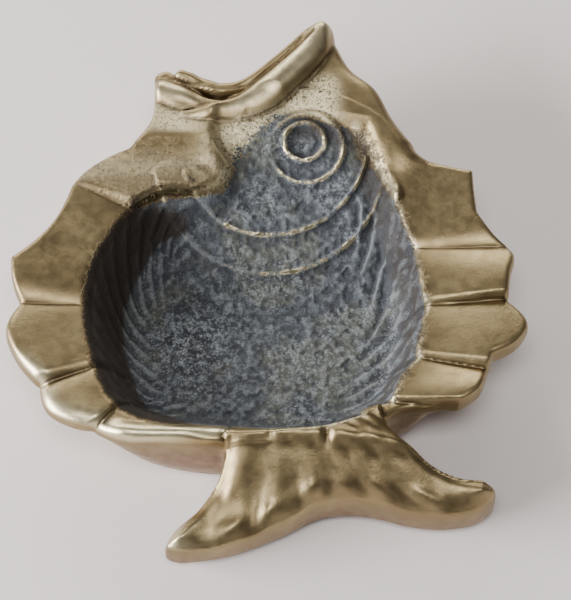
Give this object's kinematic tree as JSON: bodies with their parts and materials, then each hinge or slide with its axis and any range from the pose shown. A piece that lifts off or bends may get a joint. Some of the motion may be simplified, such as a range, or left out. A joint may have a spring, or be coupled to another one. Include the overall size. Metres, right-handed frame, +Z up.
{
  "type": "fish-shaped incense burner dish",
  "caption": "Cast brass incense burner: a fish curled round a shallow open dish, with scalloped fins as its rim, a raised head with a relief eye, and a fluted tail.",
  "frame": {"origin": "centre of the flat foot, on the surface that the burner stands on", "axes": "+Z up out of the dish, +Y from the tail to the head, +X towards the dorsal fin"},
  "size_m": [0.0931, 0.1051, 0.0221],
  "materials": {
    "bowl_brass": "cast, with a dull blue-grey deposit of ash and tarnish over the floor and the walls",
    "body_brass": "aged, satin, hand-rubbed, with darker creases",
    "grained_brass": "aged, with the fine grain of a sand casting",
    "worn_brass": "rubbed bright along the raised line"
  },
  "bodies": {
    "root": {"bowl": "bowl_brass", "head": "body_brass", "belly_fin": "body_brass", "dorsal_fin": "body_brass", "pectoral_fin": "grained_brass", "tail_fin": "body_brass", "upper_lip": "worn_brass", "lower_lip": "worn_brass", "eye_outer_ring": "worn_brass", "eye_inner_ring": "worn_brass", "gill_ridge_upper": "worn_brass", "gill_ridge_lower": "worn_brass"}
  },
  "joints": []
}
